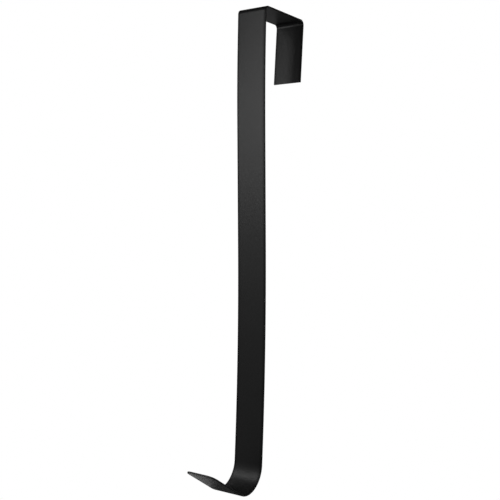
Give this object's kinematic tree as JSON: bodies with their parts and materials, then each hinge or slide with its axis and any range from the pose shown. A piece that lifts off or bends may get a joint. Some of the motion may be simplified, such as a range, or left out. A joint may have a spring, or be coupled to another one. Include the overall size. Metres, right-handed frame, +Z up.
{
  "type": "over-door wreath hook",
  "caption": "Flat metal strip folded over the top of a door, hanging down its front and turned up at the foot into a hook for a wreath.",
  "frame": {"origin": "middle of the underside of the top fold, where it sits on the top edge of a door", "axes": "+X across the strip, -Y out from the front of the door towards the room, +Y towards the back of the door, +Z up"},
  "size_m": [0.022, 0.1094, 0.3198],
  "materials": {
    "black_powder_coat": "satin black powder coat on steel strip"
  },
  "bodies": {
    "root": {"wreath_hook": "black_powder_coat"}
  },
  "joints": []
}
